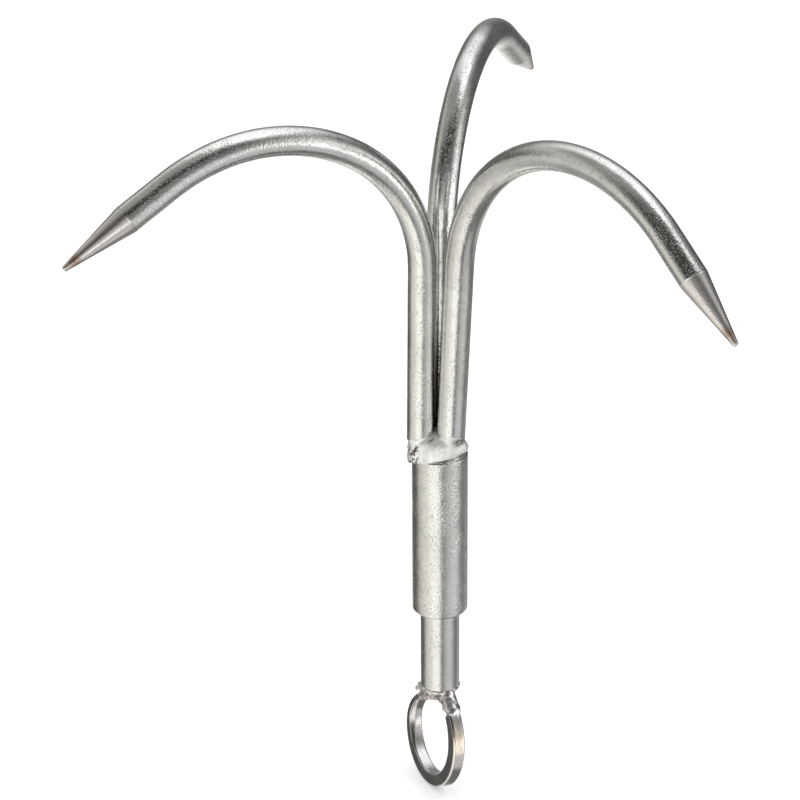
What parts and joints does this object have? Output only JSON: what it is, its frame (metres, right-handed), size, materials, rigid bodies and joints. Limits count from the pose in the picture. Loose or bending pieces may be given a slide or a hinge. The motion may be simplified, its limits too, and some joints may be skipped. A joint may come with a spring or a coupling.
{
  "type": "grapnel anchor",
  "caption": "Stainless steel grapnel with hooked pointed prongs welded to a sleeve, and a shank that ends in a welded rope eye.",
  "frame": {"origin": "centre of the rope eye's hole", "axes": "+Z parallel to the shank, from the eye towards the prongs; +Y across the eye, near the line of its hole; +X to the side of the eye"},
  "size_m": [0.1857, 0.1782, 0.2153],
  "materials": {
    "prong_steel": "tumble-polished round stainless bar with fine pits, and turned points",
    "sleeve_steel": "satin stainless tube with fine pits and lightly chamfered ends",
    "shank_steel": "satin stainless round bar",
    "eye_steel": "stainless flat band with a faint heat tint",
    "weld_steel": "smooth welded metal with a few darker spots"
  },
  "bodies": {
    "root": {"prong_left": "prong_steel", "prong_right": "prong_steel", "prong_back": "prong_steel", "sleeve": "sleeve_steel", "shank": "shank_steel", "rope_eye": "eye_steel", "hub_weld": "weld_steel", "eye_weld_near": "weld_steel", "eye_weld_far": "weld_steel"}
  },
  "joints": []
}
